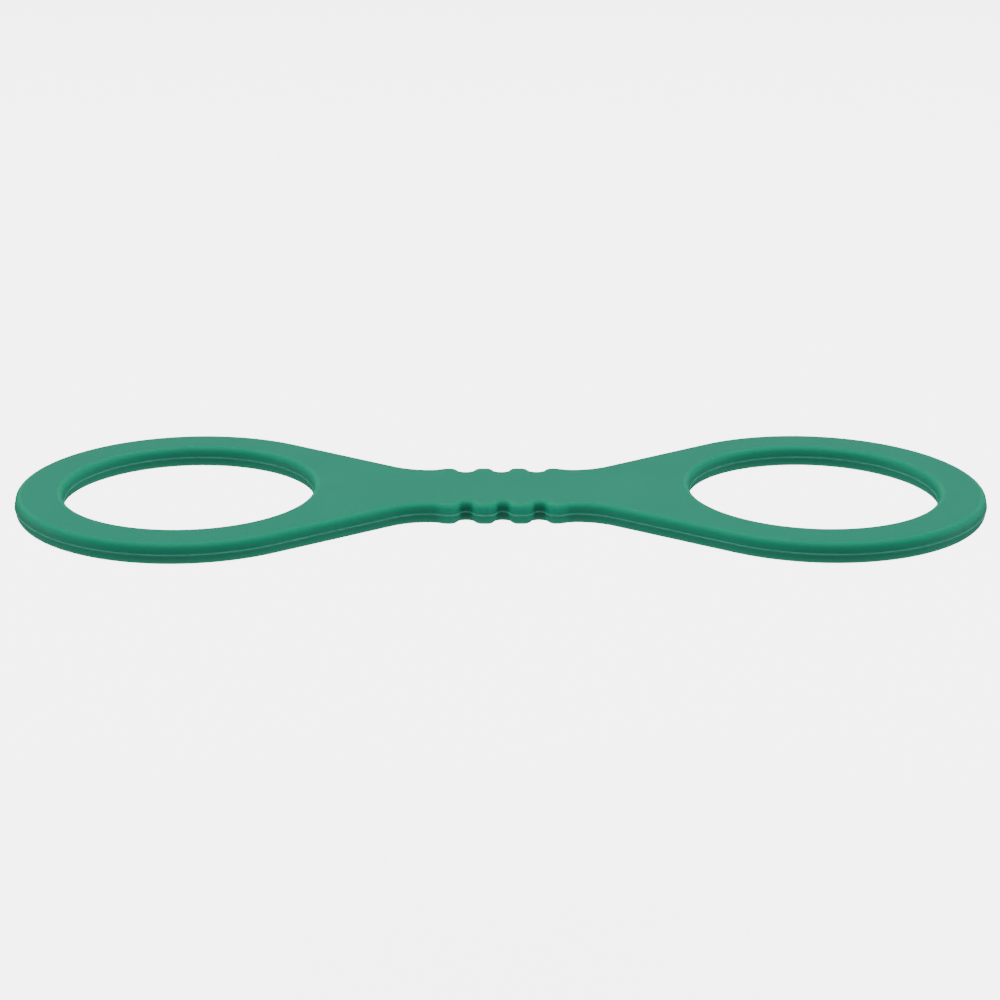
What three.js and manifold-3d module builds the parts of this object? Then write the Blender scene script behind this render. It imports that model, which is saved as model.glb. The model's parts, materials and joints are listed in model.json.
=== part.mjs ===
// Silicone jar lifter: two flat rings joined by a waisted, scalloped hand grip.
//
// The real object is one moulding, and the whole of its middle bends. It is built here as one
// blank, sliced across into short links, so that every stretch that bends is a solid of its own.
// Neighbouring links turn about a line across the strap at half its thickness. The slices widen
// towards both faces, which leaves each link room to turn either way.
//
// Frame: millimetres, +X along the strap, +Y across it, +Z up. The origin is on the resting face,
// midway between the two rings.

import * as THREE from "three";
import { mergeVertices } from "three/addons/utils/BufferGeometryUtils.js";
import Module from "manifold-3d";

// Driving dimensions, in millimetres and degrees.
const OVERALL_LENGTH = 250;
const THICKNESS = 5.5;
const EDGE_RADIUS = 1.7; // rounding of every rim, on both faces
const RING_RADIUS = 44.2; // outside of a ring
const HOLE_RADIUS = 32.1;
const WAIST_HALF_WIDTH = 14.4; // where the grip meets the flare
const WAIST_RADIUS = 6; // hollow between the last crest and the waist
const FLARE_RADIUS = 16; // hollow between the waist and the flare
const FLARE_ANGLE = 34.5; // slope of the straight flare that runs out to a ring

const SCALLOP_PITCH = 9.35; // from notch to notch along the grip
const CREST_HALF_WIDTH = 15.6;
const NOTCH_HALF_WIDTH = 12.6;
const NOTCH_RADIUS = 1.7;
const NOTCH_RUNS = [3.8, 4.1]; // from a notch's floor to its level crest, middle notch first

const LINK_PITCH = 4.75; // one link for each notch and one for each crest
const GRIP_LINKS = 3; // on each side of the middle link
const NECK_LINKS = 6; // on each side
const SLICE_GAP = 0.3; // between neighbouring links at half thickness
const SLICE_ANGLE = 6.5; // how far each end of a link leans back, towards either face

const ARC_STEP = 5; // degrees between the points of a wide arc
const SHORTEST_CHORD = 0.7; // and the closest that the points of a tight arc lie
const EDGE_STEPS = 2; // facets across a rounded rim
const WELD = 1e-4; // points closer than this are one corner
const CUTTER_MARGIN = 1; // how far a cutting block stands clear of every face

// Sizes that follow from them.
const RING_CENTRE = OVERALL_LENGTH / 2 - RING_RADIUS;
const HALF_THICKNESS = THICKNESS / 2;
const MIDDLE_LINK_END = LINK_PITCH / 2;

const wasm = await Module();
wasm.setup();

const degrees = THREE.MathUtils.degToRad;

// Points along an arc, its first point left out, because the stretch before it ends there.
function arc(x, y, radius, from, to) {
  const sweep = Math.abs(to - from);
  const finest = THREE.MathUtils.radToDeg(SHORTEST_CHORD / radius);
  const steps = Math.max(2, Math.ceil(sweep / Math.max(ARC_STEP, finest)));
  return Array.from({ length: steps }, (_, i) => {
    const angle = degrees(from + ((to - from) * (i + 1)) / steps);
    return new THREE.Vector2(x + radius * Math.cos(angle), y + radius * Math.sin(angle));
  });
}

// An S of two arcs that starts and ends level, from one height to a higher or lower one.
// The low end curls with its own radius, and the arc at the high end takes the rest.
function levelS(fromX, fromY, toX, toY, lowRadius) {
  const run = toX - fromX;
  const rise = Math.abs(toY - fromY);
  const highRadius = (run * run + rise * rise) / (2 * rise) - lowRadius;
  const turn = THREE.MathUtils.radToDeg(Math.asin(run / (lowRadius + highRadius)));
  if (toY > fromY)
    return [
      ...arc(fromX, fromY + lowRadius, lowRadius, -90, -90 + turn),
      ...arc(toX, toY - highRadius, highRadius, 90 + turn, 90),
    ];
  return [
    ...arc(fromX, fromY - highRadius, highRadius, 90, 90 - turn),
    ...arc(toX, toY + lowRadius, lowRadius, -90 - turn, -90),
  ];
}

// One quarter of the outline, from the middle notch along the +Y side to the far end of a ring.
function quarterOutline() {
  const points = [new THREE.Vector2(0, NOTCH_HALF_WIDTH)];
  NOTCH_RUNS.forEach((run, notch) => {
    const x = notch * SCALLOP_PITCH;
    if (notch > 0) {
      points.push(new THREE.Vector2(x - run, CREST_HALF_WIDTH));
      points.push(...levelS(x - run, CREST_HALF_WIDTH, x, NOTCH_HALF_WIDTH, NOTCH_RADIUS));
    }
    points.push(...levelS(x, NOTCH_HALF_WIDTH, x + run, CREST_HALF_WIDTH, NOTCH_RADIUS));
  });
  const lastCrest = points.at(-1);

  // The flare is a straight line that touches the ring's circle, and an arc eases it into the waist.
  const slope = degrees(FLARE_ANGLE);
  const reach = (RING_RADIUS / Math.cos(slope) - WAIST_HALF_WIDTH) / Math.tan(slope);
  const waistEnd = RING_CENTRE - reach - FLARE_RADIUS * Math.tan(slope / 2);
  points.push(...levelS(lastCrest.x, lastCrest.y, waistEnd, WAIST_HALF_WIDTH, WAIST_RADIUS));
  const hollowY = WAIST_HALF_WIDTH + FLARE_RADIUS;
  points.push(...arc(waistEnd, hollowY, FLARE_RADIUS, -90, -90 + FLARE_ANGLE));

  const touch = 90 + FLARE_ANGLE;
  points.push(
    new THREE.Vector2(
      RING_CENTRE + RING_RADIUS * Math.cos(degrees(touch)),
      RING_RADIUS * Math.sin(degrees(touch)),
    ),
  );
  points.push(...arc(RING_CENTRE, 0, RING_RADIUS, touch, 90));
  points.push(...arc(RING_CENTRE, 0, RING_RADIUS, 90, 0));
  return points;
}

// The whole outline, anticlockwise from the middle notch on the +Y side.
function outline() {
  const quarter = quarterOutline();
  const place = (signX, signY) => (p) => new THREE.Vector2(p.x * signX, p.y * signY);
  const outward = quarter.slice(0, -1);
  const homeward = quarter.slice(1).reverse();
  return [
    ...outward.map(place(-1, 1)),
    ...homeward.map(place(-1, -1)),
    ...outward.map(place(1, -1)),
    ...homeward.map(place(1, 1)),
  ];
}

// A closed three.js geometry as a manifold-3d solid.
function solid(geometry) {
  geometry.deleteAttribute("normal");
  geometry.deleteAttribute("uv");
  const merged = mergeVertices(geometry, WELD);
  return new wasm.Manifold(
    new wasm.Mesh({
      numProp: 3,
      vertProperties: merged.attributes.position.array,
      triVerts: new Uint32Array(merged.index.array),
    }),
  );
}

// A manifold-3d solid as a three.js geometry with flat faces.
function geometryOf(manifold) {
  const mesh = manifold.getMesh();
  const geometry = new THREE.BufferGeometry();
  geometry.setAttribute("position", new THREE.BufferAttribute(mesh.vertProperties, 3));
  geometry.setIndex(new THREE.BufferAttribute(mesh.triVerts, 1));
  const flatShaded = geometry.toNonIndexed();
  flatShaded.computeVertexNormals();
  return flatShaded;
}

// The whole moulding in one piece, with rounded rims round the outside and in both holes.
function blank() {
  const shape = new THREE.Shape(outline());
  for (const side of [-1, 1]) {
    const hole = arc(side * RING_CENTRE, 0, HOLE_RADIUS, 360, 0);
    shape.holes.push(new THREE.Path(hole));
  }
  const geometry = new THREE.ExtrudeGeometry(shape, {
    depth: THICKNESS - 2 * EDGE_RADIUS,
    bevelThickness: EDGE_RADIUS,
    bevelSize: EDGE_RADIUS,
    bevelOffset: -EDGE_RADIUS,
    bevelSegments: EDGE_STEPS,
  });
  geometry.translate(0, 0, EDGE_RADIUS);
  return solid(geometry);
}

// A block between two bend lines, widest at half thickness and leaning back towards both faces.
function slice(from, to) {
  const lean = Math.tan(degrees(SLICE_ANGLE));
  const above = HALF_THICKNESS + CUTTER_MARGIN;
  const low = from + SLICE_GAP / 2;
  const high = to - SLICE_GAP / 2;
  const section = new THREE.Shape([
    new THREE.Vector2(low, 0),
    new THREE.Vector2(low + above * lean, -above),
    new THREE.Vector2(high - above * lean, -above),
    new THREE.Vector2(high, 0),
    new THREE.Vector2(high - above * lean, above),
    new THREE.Vector2(low + above * lean, above),
  ]);
  const width = 2 * (RING_RADIUS + CUTTER_MARGIN);
  const geometry = new THREE.ExtrudeGeometry(section, { depth: width, bevelEnabled: false });
  geometry.rotateX(Math.PI / 2);
  geometry.translate(0, width / 2, HALF_THICKNESS);
  return solid(geometry);
}

// Names of the solids on one side, outwards from the middle link.
function sideNames(side) {
  const run = (stretch, count) =>
    Array.from({ length: count }, (_, i) => `${stretch}_${side}_${i + 1}`);
  return [...run("grip", GRIP_LINKS), ...run("neck", NECK_LINKS), `ring_${side}`];
}

const silicone = new THREE.MeshStandardMaterial({
  color: 0x157d61,
  roughness: 0.45,
  metalness: 0,
});

const lifter = new THREE.Group();
const moulding = blank();

// Adds the stretch of the moulding between two places along the strap.
function addLink(name, from, to) {
  const mesh = new THREE.Mesh(geometryOf(moulding.intersect(slice(from, to))), silicone);
  mesh.name = name;
  lifter.add(mesh);
}

addLink("grip_middle", -MIDDLE_LINK_END, MIDDLE_LINK_END);
for (const [side, sign] of [["left", -1], ["right", 1]]) {
  const names = sideNames(side);
  names.forEach((name, i) => {
    const inner = MIDDLE_LINK_END + i * LINK_PITCH;
    const outer = i === names.length - 1 ? OVERALL_LENGTH : inner + LINK_PITCH;
    addLink(name, ...[sign * inner, sign * outer].sort((a, b) => a - b));
  });
}

export default lifter;
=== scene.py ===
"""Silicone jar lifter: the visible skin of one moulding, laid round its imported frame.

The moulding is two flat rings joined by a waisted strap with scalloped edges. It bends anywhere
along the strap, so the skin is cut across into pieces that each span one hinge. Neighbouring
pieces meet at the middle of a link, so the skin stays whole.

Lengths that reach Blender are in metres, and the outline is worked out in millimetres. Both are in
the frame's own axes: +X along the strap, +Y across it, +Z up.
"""

import functools
import json
import math

import bpy
import numpy as np
from mathutils import Matrix, Vector

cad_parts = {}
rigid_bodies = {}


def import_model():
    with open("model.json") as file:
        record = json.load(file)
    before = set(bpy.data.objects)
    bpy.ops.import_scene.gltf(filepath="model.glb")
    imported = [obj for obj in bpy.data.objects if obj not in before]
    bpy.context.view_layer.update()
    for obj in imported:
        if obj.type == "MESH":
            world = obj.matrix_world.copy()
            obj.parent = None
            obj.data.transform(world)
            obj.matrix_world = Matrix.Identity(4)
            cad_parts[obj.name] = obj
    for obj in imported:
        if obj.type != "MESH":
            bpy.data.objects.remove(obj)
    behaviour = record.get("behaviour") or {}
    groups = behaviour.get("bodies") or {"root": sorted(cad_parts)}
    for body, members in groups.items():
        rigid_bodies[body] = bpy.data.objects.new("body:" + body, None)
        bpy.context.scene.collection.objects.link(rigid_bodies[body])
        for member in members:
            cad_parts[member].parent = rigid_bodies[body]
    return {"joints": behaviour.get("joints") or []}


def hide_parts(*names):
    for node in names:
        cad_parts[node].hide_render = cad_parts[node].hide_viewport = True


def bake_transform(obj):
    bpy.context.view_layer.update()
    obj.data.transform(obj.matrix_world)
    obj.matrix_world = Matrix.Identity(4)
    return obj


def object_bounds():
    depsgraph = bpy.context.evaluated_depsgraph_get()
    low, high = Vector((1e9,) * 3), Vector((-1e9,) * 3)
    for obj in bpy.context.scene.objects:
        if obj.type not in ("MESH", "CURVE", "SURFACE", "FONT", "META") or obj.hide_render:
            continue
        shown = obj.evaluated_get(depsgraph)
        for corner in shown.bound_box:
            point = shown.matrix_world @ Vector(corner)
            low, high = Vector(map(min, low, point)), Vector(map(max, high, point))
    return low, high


MM = 0.001
WHITE = (1, 1, 1, 1)

# Outline of the moulding, in millimetres and degrees.
EDGE_RADIUS = 1.7  # rounding of every rim, on both faces
RING_WIDTH = 12.1
WAIST_HALF_WIDTH = 14.4
WAIST_RADIUS = 6  # hollow between the last crest and the waist
FLARE_RADIUS = 16  # hollow between the waist and the flare
FLARE_ANGLE = 34.5  # slope of the straight flare that runs out to a ring
SCALLOP_PITCH = 9.35  # from notch to notch along the grip
CREST_HALF_WIDTH = 15.6
NOTCH_HALF_WIDTH = 12.6
NOTCH_RADIUS = 1.7
NOTCH_RUNS = (3.8, 4.1)  # from a notch's floor to its level crest, from the middle notch outwards
LAST_CREST_REACH = 20  # from the middle of the grip to where the last crest's tone ends

# The parting line, a thin fin of flash half way up every narrow face, in millimetres.
FIN_REACH = 0.26
FIN_ROOT = 0.16  # half its thickness where it leaves the wall
FIN_TIP = 0.08  # half its thickness beside its edge
FIN_FOOT = 0.06  # the small hollow where it meets the wall
FIN_SHOULDER = 0.75  # share of its reach at which it starts to round over
FIN_TONE = 0.5  # share of the wall's painted light and shade that it takes on
# No mould closes quite evenly, so the fin grows and shrinks along the outline in a slow wave and a
# quick one: the share of its reach, the radians per millimetre along x and along y, and the start.
FIN_WAVES = ((0.16, 0.31, 0.23, 0.0), (0.12, 0.97, -0.71, 1.0))

# Fineness of the mesh.
RIM_STEPS = 8  # across each rounded rim
ARC_STEP = 2.0  # degrees between the points of an arc of the outline
STATION_STEP = 0.35  # millimetres along the edge between cross-sections of the strap
STRAP_COLUMNS = 10  # across the strap's flat faces
RING_STEP = 1.8  # degrees between sections round a ring
FLARE_STEPS = 16  # sections along the flare beside a ring
FACE_STEPS = 10  # across a ring's flat faces
SUPPORT = 0.3  # width of the strip that keeps a flat face flat beside its rim, in millimetres

# How the painted light and shade change from a flat face, round a rim and down to a narrow face.
RIM_ONSET = 8  # a rim takes on its painted highlight and its own specular in the first eighth of its turn, then slowly loses them
WALL_ONSET = 1.5  # the narrow face's painted shade and light come in by this power of the rim's turn
NOTCH_REACH = 0.5  # share of the height of a crest at which a notch's painted shade ends

# What the material reads at each vertex: its place at rest, in millimetres, and its painted light,
# which is the shares of fin and rim there, and the factor of painted light and shade on its colour.
REST_PLACE = "rest_place"
PAINTED_LIGHT = "painted_light"
PLAIN = (0, 0, 1)

# Painted light and shade on the narrow faces: the plain edge a shade darker, crests painted
# lighter and notches painted darker, as light and shade fall on them.
WALL_PAINTED_SHADE = 0.94
CREST_PAINTED_LIGHT = 1.28
NOTCH_PAINTED_SHADE = 0.6

# Finish of the silicone, with painted highlights on the rims and along the fin. Colours are linear.
BODY_COLOUR = (0.006, 0.2, 0.12, 1)
RIM_PAINTED_HIGHLIGHT = (0.006, 0.256, 0.136, 1)
FIN_PAINTED_HIGHLIGHT = (0.04, 0.33, 0.22, 1)
ROUGHNESS_SPAN = (0.46, 0.56)
SILICONE_IOR = 1.41
SPECULAR_SPAN = (0.35, 0.13)  # from no share of rim, as on a flat or a narrow face, to a full one

# Unevenness of the silicone: how fine each pattern is, in features per millimetre, and how far it
# goes, as a factor of the colour, or as a bump's strength and its height in millimetres.
# The fin's painted highlight comes and goes along it.
FIN_HIGHLIGHT_PER_MM = 0.35
FIN_HIGHLIGHT_SPAN = (0.2, 1.0)  # how much of the fin's painted highlight shows along it
CLOUD_PER_MM = 0.05
CLOUD_SPAN = (0.94, 1.06)
SPECK_PER_MM = 2.5
SPECK_SPAN = (0.97, 1.03)
SWELL_PER_MM = 0.12
SWELL_STRENGTH = 0.08
SWELL_HEIGHT = 0.4
GRAIN_PER_MM = 6.0
GRAIN_STRENGTH = 0.12
GRAIN_HEIGHT = 0.02

# Light, in metres and watts. A size is one number for a disc and two for a rectangle.
OVERHEAD_HEIGHT = 2.4
OVERHEAD_SIZE = 4.0
OVERHEAD_WATTS = 125.0
BACK_PLACE = (0, 1.9, 0.62)
BACK_SIZE = (3.5, 0.9)
BACK_WATTS = 3.3
UNDER_DEPTH = 0.6
UNDER_SIZE = 4.0
UNDER_WATTS = 52.0
END_PLACE = (2.0, 0.5, 0.15)  # beyond the right ring, and its mirror image beyond the left one
END_SIZE = (2.0, 1.0)
END_WATTS = 24.0
SHEEN_WATTS = 11.0
ROOM_STRENGTH = 0.15

# The floor, in metres. Its drop is a share of half the object's length.
FLOOR_GREYS = ((0.78, 0.78, 0.78, 1), (0.82, 0.82, 0.82, 1))
FLOOR_TOOTH = 300.0  # grains to a metre
FLOOR_ROUGHNESS = 0.9
FLOOR_SPECULAR = 0.1
FLOOR_GLOW = 4.6
FLOOR_DROP = 1.08
FLOOR_RADIUS = 5.0
FLOOR_SIDES = 96
SWEEP_RADIUS = 2.5
SWEEP_STEPS = 24
WALL_HEIGHT = 8.0

# The camera, in degrees, metres and millimetres of lens. Its aim passes just left of and below
# the middle of the object, as shares of the distance.
CAMERA_ELEVATION = 18.94
CAMERA_YAW = 1.08
CAMERA_ROLL = 0.3
CAMERA_DISTANCE = 0.5998
CAMERA_LENS = 83.3
CAMERA_NEAR = 0.01
AIM_LEFT = 0.00082
AIM_BELOW = 0.00192

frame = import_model()
cad_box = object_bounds()

BOX_LOW, BOX_HIGH = (np.array(corner) / MM for corner in cad_box)
HALF_LENGTH = (BOX_HIGH[0] - BOX_LOW[0]) / 2
RING_RADIUS = (BOX_HIGH[1] - BOX_LOW[1]) / 2
THICKNESS = BOX_HIGH[2] - BOX_LOW[2]
MID_HEIGHT = (BOX_HIGH[2] + BOX_LOW[2]) / 2
RING_CENTRE = HALF_LENGTH - RING_RADIUS
HOLE_RADIUS = RING_RADIUS - RING_WIDTH
SCALLOPS_END = (len(NOTCH_RUNS) - 0.5) * SCALLOP_PITCH


# ---------------------------------------------------------------- the outline


def arc(x, y, radius, start, end):
    """Points of an arc with its outward normals: the material is on the -Y side of the curve."""
    steps = max(2, math.ceil(abs(end - start) / ARC_STEP))
    hollow = -1 if math.sin(math.radians((start + end) / 2)) < 0 else 1
    rows = []
    for i in range(steps + 1):
        angle = math.radians(start + (end - start) * i / steps)
        c, s = math.cos(angle), math.sin(angle)
        rows.append((x + radius * c, y + radius * s, hollow * c, hollow * s))
    return rows


def level_s(x0, y0, x1, y1, low_radius):
    """An S of two arcs that starts and ends level. The arc at the high end takes what is left."""
    run, rise = x1 - x0, abs(y1 - y0)
    high_radius = (run * run + rise * rise) / (2 * rise) - low_radius
    turn = math.degrees(math.asin(run / (low_radius + high_radius)))
    if y1 > y0:
        low = arc(x0, y0 + low_radius, low_radius, -90, -90 + turn)
        return low + arc(x1, y1 - high_radius, high_radius, 90 + turn, 90)
    high = arc(x0, y0 - high_radius, high_radius, 90, 90 - turn)
    return high + arc(x1, y1 + low_radius, low_radius, -90 - turn, -90)


def strap_edge():
    """Rows of x, y and outward normal along the strap's +Y edge, from x = 0 to the ring's circle."""
    rows = []
    for notch, run in enumerate(NOTCH_RUNS):
        x = notch * SCALLOP_PITCH
        if notch:
            rows += level_s(x - run, CREST_HALF_WIDTH, x, NOTCH_HALF_WIDTH, NOTCH_RADIUS)
        rows += level_s(x, NOTCH_HALF_WIDTH, x + run, CREST_HALF_WIDTH, NOTCH_RADIUS)
    slope = math.radians(FLARE_ANGLE)
    reach = (RING_RADIUS / math.cos(slope) - WAIST_HALF_WIDTH) / math.tan(slope)
    waist_end = RING_CENTRE - reach - FLARE_RADIUS * math.tan(slope / 2)
    rows += level_s(rows[-1][0], rows[-1][1], waist_end, WAIST_HALF_WIDTH, WAIST_RADIUS)
    hollow_y = WAIST_HALF_WIDTH + FLARE_RADIUS
    rows += arc(waist_end, hollow_y, FLARE_RADIUS, -90, -90 + FLARE_ANGLE)
    normal = (-math.sin(slope), math.cos(slope))
    touch = (RING_CENTRE + RING_RADIUS * normal[0], RING_RADIUS * normal[1])
    rows.append((*touch, *normal))
    return np.array(rows)


EDGE = strap_edge()


@functools.lru_cache(maxsize=None)
def offset_edge(inset):
    """The curve that runs at this inset from the strap's edge, carried on past x = 0."""
    xs = EDGE[:, 0] - EDGE[:, 2] * inset
    ys = EDGE[:, 1] - EDGE[:, 3] * inset
    return np.concatenate([-xs[::-1], xs]), np.concatenate([ys[::-1], ys])


def half_width(x, inset=0.0):
    """Half the strap's width at x, on the curve that runs at this inset from its edge."""
    return np.interp(x, *offset_edge(inset))


def stations(start, end):
    """Places along the strap between two cuts, evenly spaced as the edge itself runs."""
    inside = EDGE[(EDGE[:, 0] > start) & (EDGE[:, 0] < end), 0]
    xs = np.array([start, *inside, end])
    run = np.cumsum([0, *np.hypot(np.diff(xs), np.diff(half_width(xs)))])
    steps = math.ceil(run[-1] / STATION_STEP)
    return np.interp(np.linspace(0, run[-1], steps + 1), run, xs)


# ---------------------------------------------------------------- the narrow faces


def rim_profile():
    """Rows down a narrow face, from the top face to the underside.

    Each is an inset, a height, and the shares of fin, rim and wall there.
    """
    wall_top = THICKNESS / 2 - EDGE_RADIUS
    upper = [(EDGE_RADIUS + SUPPORT, THICKNESS / 2, 0, 0, 0)]
    for i in range(RIM_STEPS + 1):
        turn = i / RIM_STEPS
        angle = math.radians(90 - 90 * turn)
        inset = EDGE_RADIUS * (1 - math.cos(angle))
        height = wall_top + EDGE_RADIUS * math.sin(angle)
        rim = min(1, turn * RIM_ONSET) * (1 - turn * turn)
        upper.append((inset, height, 0, rim, turn**WALL_ONSET))
    upper.append((0, (wall_top + FIN_ROOT) / 2, 0, 0, 1))
    upper.append((0, FIN_ROOT + FIN_FOOT, 0, 0, 1))
    upper.append((-FIN_FOOT, FIN_ROOT, 1, 0, FIN_TONE))
    upper.append((-FIN_REACH * FIN_SHOULDER, FIN_TIP, 1, 0, FIN_TONE))
    lower = [(inset, -height, *shares) for inset, height, *shares in reversed(upper)]
    return [*upper, (-FIN_REACH, 0, 1, 0, FIN_TONE), *lower]


PROFILE = rim_profile()


def painted_light_column(tone=WALL_PAINTED_SHADE):
    """The painted light down a narrow face: shares of fin and rim, and that tone of painted shade."""
    return [(fin, rim, 1 + wall * (tone - 1)) for _, _, fin, rim, wall in PROFILE]


def ease(share):
    """A smooth step from 0 to 1."""
    share = min(1.0, max(0.0, share))
    return share * share * (3 - 2 * share)


def edge_painted_shading(x):
    """Painted light and shade on the narrow face at a place along the strap, from the middle
    outwards.
    """
    if x > LAST_CREST_REACH:
        return WALL_PAINTED_SHADE
    if x > SCALLOPS_END:
        rise = (half_width(x) - WAIST_HALF_WIDTH) / (CREST_HALF_WIDTH - WAIST_HALF_WIDTH)
        return WALL_PAINTED_SHADE + (CREST_PAINTED_LIGHT - WALL_PAINTED_SHADE) * ease(rise)
    rise = (half_width(x) - NOTCH_HALF_WIDTH) / (CREST_HALF_WIDTH - NOTCH_HALF_WIDTH)
    return NOTCH_PAINTED_SHADE + (CREST_PAINTED_LIGHT - NOTCH_PAINTED_SHADE) * ease(rise / NOTCH_REACH)


def fin_growth(x, y):
    """The factor by which the fin's reach grows or shrinks at a place on the outline."""
    growth = 1
    for share, along_x, along_y, start in FIN_WAVES:
        growth += share * math.sin(along_x * x + along_y * y + start)
    return growth


def narrow_face(place, side):
    """Points down a narrow face, on the curves that place(inset) gives, from top to underside."""
    base = np.array(place(0.0))
    growth = fin_growth(side * base[0], base[1])
    rows = []
    for inset, height, *_ in PROFILE:
        point = np.array(place(inset))
        if inset < 0:
            point = base + growth * (point - base)
        rows.append((*point, MID_HEIGHT + height))
    return rows


# ---------------------------------------------------------------- the skin


class Skin:
    """Vertices and faces of one closed piece, on the right or the left side of the strap."""

    def __init__(self, side):
        self.side = side
        self.points = []
        self.painted_light = []
        self.faces = []
        self.ends = []

    def row(self, points, painted_light=None):
        """Adds a row of points and returns their numbers."""
        first = len(self.points)
        self.points += [tuple(p) for p in points]
        self.painted_light += painted_light or [PLAIN] * len(points)
        return list(range(first, len(self.points)))

    def bridge(self, a, b, closed=False):
        """Quads between two rows of the same length."""
        for i in range(len(a) if closed else len(a) - 1):
            j = (i + 1) % len(a)
            self.faces.append((a[i], b[i], b[j], a[j]))

    def end(self, loop):
        """One flat face across a cut. Its corners are its own, so the skin beside it stays smooth."""
        self.ends.append(tuple(self.row([self.points[i] for i in loop])))

    def piece(self, name):
        """The skin as a Blender object, turned to its own side."""
        rest = np.array(self.points, float)
        rest[:, 0] *= self.side
        faces = [face[:: self.side] for face in self.faces + self.ends]
        mesh = bpy.data.meshes.new(name)
        mesh.from_pydata((rest * MM).tolist(), [], faces)
        smooth = [True] * len(self.faces) + [False] * len(self.ends)
        mesh.polygons.foreach_set("use_smooth", smooth)
        place = mesh.attributes.new(REST_PLACE, "FLOAT_VECTOR", "POINT")
        place.data.foreach_set("vector", rest.astype(np.float32).ravel())
        painted_light = mesh.attributes.new(PAINTED_LIGHT, "FLOAT_VECTOR", "POINT")
        painted_light.data.foreach_set("vector", np.array(self.painted_light, np.float32).ravel())
        mesh.update()
        piece = bpy.data.objects.new(name, mesh)
        bpy.context.scene.collection.objects.link(piece)
        return piece


def strap_skin(start, end, side):
    """A stretch of strap between two cuts, as a loft of its cross-sections."""
    skin = Skin(side)
    loops = []
    for x in stations(start, end):
        near = narrow_face(lambda inset: (x, half_width(x, inset)), side)
        far = narrow_face(lambda inset: (x, -half_width(x, inset)), side)[::-1]
        across = np.linspace(near[0][1], far[0][1], STRAP_COLUMNS + 1)[1:-1]
        under = [(x, y, BOX_LOW[2]) for y in across]
        over = [(x, y, BOX_HIGH[2]) for y in across[::-1]]
        plain = [PLAIN] * len(across)
        # Painted light and shade down the narrow faces: crests lighter, notches darker.
        column = painted_light_column(edge_painted_shading(x))
        painted_light = [*column, *plain, *column, *plain]
        loops.append(skin.row([*near, *under, *far, *over], painted_light))
    for a, b in zip(loops, loops[1:]):
        skin.bridge(a, b, closed=True)
    skin.end(loops[0])
    skin.end(loops[-1][::-1])
    return skin


def ring_stations(cut):
    """Half the stations round a ring, from its far end to the strap, on the +Y side.

    Each is an angle at the hole, the share of the way along the flare, and the y of a point on the
    cut. On the ring's own circle there is no share, and y is only there across the cut.
    """
    touch = 90 + FLARE_ANGLE
    reach = RING_CENTRE - cut
    corner_y = half_width(cut, EDGE_RADIUS + SUPPORT)
    corner = 180 - math.degrees(math.atan2(corner_y, reach))
    rows = [(a, None, None) for a in np.linspace(0, touch, round(touch / RING_STEP) + 1)[:-1]]
    for share in np.linspace(0, 1, FLARE_STEPS + 1):
        rows.append((touch + (corner - touch) * share, share, None))
    for a in np.linspace(corner, 180, round((180 - corner) / RING_STEP) + 1)[1:]:
        rows.append((a, None, reach * math.tan(math.radians(180 - a))))
    return rows


def ring_wall(angle, share, cut, sign):
    """A function of inset for one station of the outer narrow face round a ring."""

    def on_circle(inset, degrees):
        a, radius = math.radians(degrees), RING_RADIUS - inset
        return np.array([RING_CENTRE + radius * math.cos(a), radius * math.sin(a)])

    def place(inset):
        if share is None:
            point = on_circle(inset, angle)
        else:
            touch = on_circle(inset, 90 + FLARE_ANGLE)
            point = touch + share * (np.array([cut, half_width(cut, inset)]) - touch)
        return point * (1, sign)

    return place


def ring_skin(cut, side):
    """The end of the strap and its ring, as sections that run round the hole."""
    skin = Skin(side)
    quarter = ring_stations(cut)
    around = [(1, *row) for row in quarter] + [(-1, *row) for row in quarter[-2:0:-1]]
    holes, walls, tops, unders = [], [], [], []
    # Painted shade on the ring's narrow faces, as on the plain edge of the strap.
    column = painted_light_column()
    for sign, angle, share, cut_y in around:
        a = math.radians(angle)
        ray = np.array([math.cos(a), sign * math.sin(a)])
        centre = np.array([RING_CENTRE, 0])
        hole = skin.row(
            narrow_face(lambda inset: centre + (HOLE_RADIUS + inset) * ray, side), column
        )
        if cut_y is None:
            wall = skin.row(narrow_face(ring_wall(angle, share, cut, sign), side), column)
            rims = wall[0], wall[-1]
        else:
            wall = None
            rims = skin.row([(cut, sign * cut_y, z) for z in (BOX_HIGH[2], BOX_LOW[2])])
        for rows, inner, outer in zip((tops, unders), (hole[0], hole[-1]), rims):
            between = np.linspace(skin.points[inner], skin.points[outer], FACE_STEPS + 1)[1:-1]
            rows.append([inner, *skin.row(between), outer])
        holes.append(hole)
        walls.append(wall)
    for i in range(len(around)):
        before = i - 1
        skin.bridge(holes[before], holes[i])
        skin.bridge(tops[i], tops[before])
        skin.bridge(unders[before], unders[i])
        if walls[before] and walls[i]:
            skin.bridge(walls[i], walls[before])
    across = [i for i, wall in enumerate(walls) if not wall]
    near, far = walls[across[0] - 1], walls[across[-1] + 1]
    under = [unders[i][-1] for i in across]
    over = [tops[i][-1] for i in across[::-1]]
    skin.end([*near, *under, *far[::-1], *over])
    return skin


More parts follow.
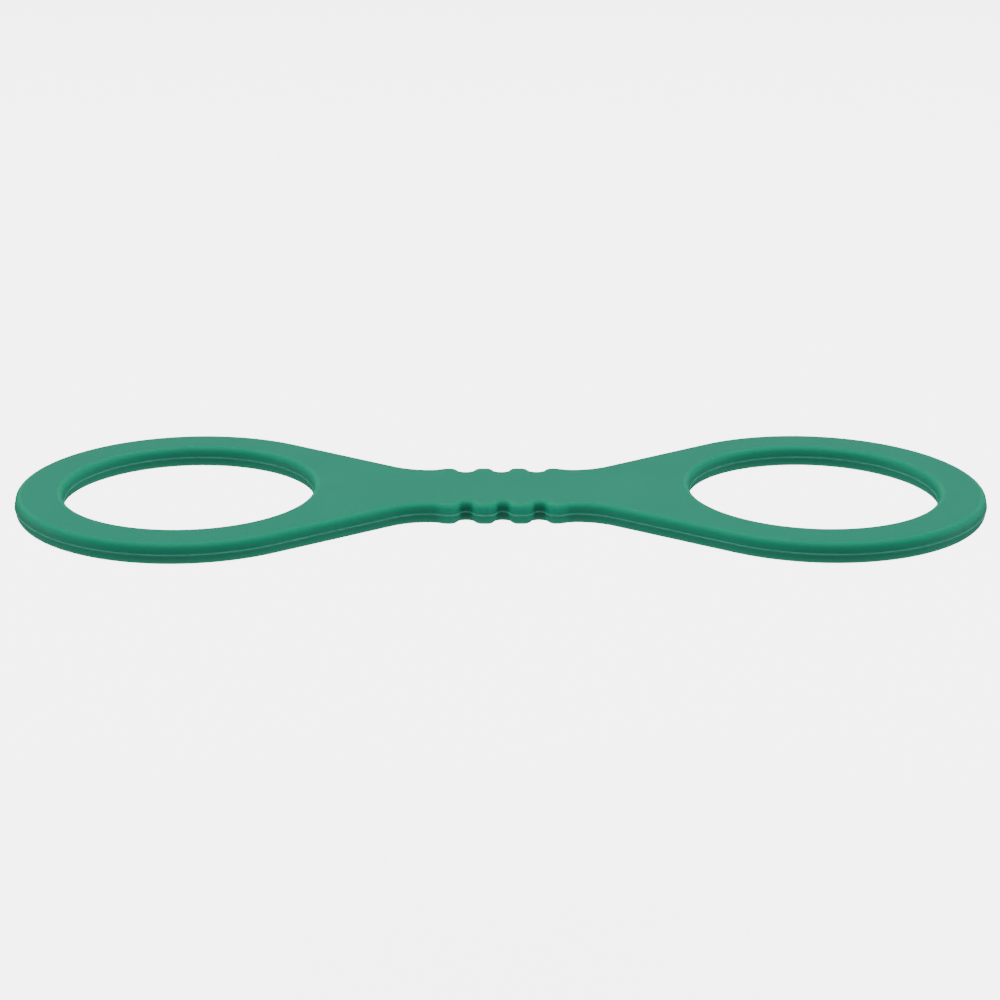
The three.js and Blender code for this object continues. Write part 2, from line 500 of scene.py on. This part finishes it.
def bending_pieces(material):
    """One piece of skin over each hinge, from the middle of one link to the middle of the next.

    The last piece on each side goes on to the far end of its ring.
    """
    joints = frame["joints"]
    children = {joint["child"] for joint in joints}
    outward = sorted(abs(joint["pos_m"][0]) for joint in joints if joint["pos_m"][0] > 0)
    pitch = (outward[1] - outward[0]) / MM
    for joint in joints:
        parent, child = joint["parent"], joint["child"]
        side = 1 if joint["pos_m"][0] > 0 else -1
        hinge = abs(joint["pos_m"][0]) / MM
        start, end = hinge - pitch / 2, hinge + pitch / 2
        last = hinge > outward[-1] / MM - pitch / 2
        skin = ring_skin(start, side) if last else strap_skin(start, end, side)
        piece = skin.piece(child + "_skin")
        piece.data.materials.append(material)
        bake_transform(piece)
        middle = [parent] if parent not in children and side > 0 else []
        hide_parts(child, *middle)


# ---------------------------------------------------------------- materials


class Nodes:
    """Short ways to add nodes to one material."""

    MIX_INPUTS = (0, 6, 7)  # a colour Mix node's sockets: the share and the two colours
    MIX_RESULT = 2

    def __init__(self, name):
        self.material = bpy.data.materials.new(name)
        self.material.use_nodes = True
        self.tree = self.material.node_tree
        self.shader = self.tree.nodes["Principled BSDF"]

    def add(self, kind, settings=None, **inputs):
        node = self.tree.nodes.new(kind)
        for key, value in (settings or {}).items():
            setattr(node, key, value)
        for key, value in inputs.items():
            self.feed(node, key.replace("_", " "), value)
        return node

    def feed(self, node, socket, value):
        if isinstance(value, bpy.types.NodeSocket):
            self.tree.links.new(value, node.inputs[socket])
        else:
            node.inputs[socket].default_value = value

    def noise(self, place, scale, detail=2.0):
        node = self.add("ShaderNodeTexNoise", Vector=place, Scale=scale, Detail=detail)
        return node.outputs["Fac"]

    def span(self, value, low, high):
        """value from 0 to 1, spread between low and high."""
        node = self.add("ShaderNodeMapRange", Value=value, To_Min=low, To_Max=high)
        return node.outputs["Result"]

    def mix(self, share, a, b):
        node = self.add("ShaderNodeMix", {"data_type": "RGBA"})
        for socket, value in zip(self.MIX_INPUTS, (share, a, b)):
            self.feed(node, socket, value)
        return node.outputs[self.MIX_RESULT]

    def times(self, a, b, colour=False):
        """a times b. The first may be a colour."""
        if colour:
            node = self.add("ShaderNodeVectorMath", {"operation": "MULTIPLY"})
        else:
            node = self.add("ShaderNodeMath", {"operation": "MULTIPLY"})
        self.feed(node, 0, a)
        self.feed(node, 1, b)
        return node.outputs[0]

    def bump(self, height, strength, millimetres):
        distance = millimetres * MM
        return self.add("ShaderNodeBump", Height=height, Strength=strength, Distance=distance)


def silicone_material():
    """Matt moulded silicone with the fine grain of its mould, painted highlights on rims and fin."""
    n = Nodes("silicone")
    place = n.add("ShaderNodeAttribute", {"attribute_name": REST_PLACE}).outputs["Vector"]
    painted_light = n.add("ShaderNodeAttribute", {"attribute_name": PAINTED_LIGHT}).outputs["Vector"]
    fin, rim, tone = n.add("ShaderNodeSeparateXYZ", Vector=painted_light).outputs

    # The rims are painted lighter and greener: a painted highlight.
    body = n.mix(rim, BODY_COLOUR, RIM_PAINTED_HIGHLIGHT)
    # The fin of flash is painted paler: a painted highlight, uneven along it.
    fin_highlight = n.times(fin, n.span(n.noise(place, FIN_HIGHLIGHT_PER_MM), *FIN_HIGHLIGHT_SPAN))
    body = n.mix(fin_highlight, body, FIN_PAINTED_HIGHLIGHT)
    # The vertices' tone is painted light and shade, times a random cloud and speck.
    cloud = n.noise(place, CLOUD_PER_MM, detail=3.0)
    speck = n.noise(place, SPECK_PER_MM)
    tone = n.times(tone, n.times(n.span(cloud, *CLOUD_SPAN), n.span(speck, *SPECK_SPAN)))
    n.feed(n.shader, "Base Color", n.times(body, tone, colour=True))

    grain = n.noise(place, GRAIN_PER_MM)
    n.feed(n.shader, "Roughness", n.span(grain, *ROUGHNESS_SPAN))
    swell = n.bump(n.noise(place, SWELL_PER_MM, detail=1.0), SWELL_STRENGTH, SWELL_HEIGHT)
    tooth = n.bump(grain, GRAIN_STRENGTH, GRAIN_HEIGHT)
    n.feed(tooth, "Normal", swell.outputs["Normal"])
    n.feed(n.shader, "Normal", tooth.outputs["Normal"])
    n.feed(n.shader, "IOR", SILICONE_IOR)
    n.feed(n.shader, "Specular IOR Level", n.span(rim, *SPECULAR_SPAN))
    return n.material


def floor_material():
    """Plain pale matt paper, with a trace of tooth."""
    n = Nodes("pale_floor")
    place = n.add("ShaderNodeTexCoord").outputs["Object"]
    tooth = n.noise(place, FLOOR_TOOTH)
    n.feed(n.shader, "Base Color", n.mix(tooth, *FLOOR_GREYS))
    n.feed(n.shader, "Roughness", FLOOR_ROUGHNESS)
    n.feed(n.shader, "Specular IOR Level", FLOOR_SPECULAR)
    n.feed(n.shader, "Emission Color", WHITE)
    n.feed(n.shader, "Emission Strength", FLOOR_GLOW)
    return n.material


# ---------------------------------------------------------------- stage, light and camera


def floor():
    """A wide pale floor that sweeps up into a wall all round, for the camera's eyes alone.

    It lies low enough for both rings to hang straight down above it.
    """
    level = -FLOOR_DROP * HALF_LENGTH * MM
    turns = [math.radians(-90 + 90 * i / SWEEP_STEPS) for i in range(SWEEP_STEPS + 1)]
    bend = [
        (FLOOR_RADIUS + SWEEP_RADIUS * math.cos(a), level + SWEEP_RADIUS * (1 + math.sin(a)))
        for a in turns
    ]
    profile = [*bend, (bend[-1][0], WALL_HEIGHT)]
    around = [2 * math.pi * i / FLOOR_SIDES for i in range(FLOOR_SIDES)]
    points = [(r * math.cos(a), r * math.sin(a), z) for r, z in profile for a in around]
    faces = [tuple(range(FLOOR_SIDES))]
    for row in range(len(profile) - 1):
        for i in range(FLOOR_SIDES):
            j = (i + 1) % FLOOR_SIDES
            low, high = row * FLOOR_SIDES, (row + 1) * FLOOR_SIDES
            faces.append((low + j, low + i, high + i, high + j))
    mesh = bpy.data.meshes.new("floor")
    mesh.from_pydata(points, [], faces)
    mesh.shade_smooth()
    mesh.materials.append(floor_material())
    ground = bpy.data.objects.new("floor", mesh)
    ground.visible_diffuse = False
    ground.visible_glossy = False
    ground.visible_shadow = False
    bpy.context.scene.collection.objects.link(ground)


def area_light(name, place, size, watts, glossy):
    """A soft disc or rectangle of light that faces the object. A glossy one shows in reflections."""
    data = bpy.data.lights.new(name, "AREA")
    if isinstance(size, tuple):
        data.shape = "RECTANGLE"
        data.size, data.size_y = size
    else:
        data.shape = "DISK"
        data.size = size
    data.energy = watts
    lamp = bpy.data.objects.new(name, data)
    lamp.location = place
    facing = Vector((0, 0, MID_HEIGHT * MM)) - Vector(place)
    lamp.rotation_euler = facing.to_track_quat("-Z", "Y").to_euler()
    lamp.visible_glossy = glossy
    bpy.context.scene.collection.objects.link(lamp)


def lights():
    """Light from overhead, from a pale table below, from low behind and from beyond each ring.

    The back lamp's reflection lays a haze on the flat faces, and the sheen lamps' reflections lay
    one on the far ends of the rings. The other lamps are kept out of reflections. The room itself
    is dim and even.
    """
    area_light("overhead", (0, 0, OVERHEAD_HEIGHT), OVERHEAD_SIZE, OVERHEAD_WATTS, glossy=False)
    area_light("under", (0, 0, -UNDER_DEPTH), UNDER_SIZE, UNDER_WATTS, glossy=False)
    area_light("back", BACK_PLACE, BACK_SIZE, BACK_WATTS, glossy=True)
    for name, sign in (("left", -1), ("right", 1)):
        place = (sign * END_PLACE[0], *END_PLACE[1:])
        area_light(f"{name}_end", place, END_SIZE, END_WATTS, glossy=False)
        area_light(f"{name}_sheen", place, END_SIZE, SHEEN_WATTS, glossy=True)
    room = bpy.data.worlds.new("room")
    room.use_nodes = True
    background = room.node_tree.nodes["Background"]
    background.inputs["Color"].default_value = WHITE
    background.inputs["Strength"].default_value = ROOM_STRENGTH
    bpy.context.scene.world = room


def camera():
    """A long lens, a little above the object and nearly square on to it."""
    centre = Vector((0, 0, MID_HEIGHT * MM))
    turn = Matrix.Rotation(math.radians(-CAMERA_YAW), 3, "Z")
    rise = math.radians(CAMERA_ELEVATION)
    forward = turn @ Vector((0, math.cos(rise), -math.sin(rise)))
    right = turn @ Vector((1, 0, 0))
    up = right.cross(forward)
    place = centre - forward * CAMERA_DISTANCE
    aim = (forward - right * AIM_LEFT - up * AIM_BELOW).normalized()
    right = (right - aim * right.dot(aim)).normalized()
    up = right.cross(aim)
    roll = math.radians(CAMERA_ROLL)
    rolled_right = right * math.cos(roll) + up * math.sin(roll)
    rolled_up = up * math.cos(roll) - right * math.sin(roll)
    data = bpy.data.cameras.new("camera")
    data.lens = CAMERA_LENS
    data.clip_start = CAMERA_NEAR
    eye = bpy.data.objects.new("camera", data)
    axes = Matrix((rolled_right, rolled_up, -aim)).transposed()
    eye.matrix_world = Matrix.Translation(place) @ axes.to_4x4()
    bpy.context.scene.collection.objects.link(eye)
    bpy.context.scene.camera = eye


camera()
lights()
floor()
bending_pieces(silicone_material())
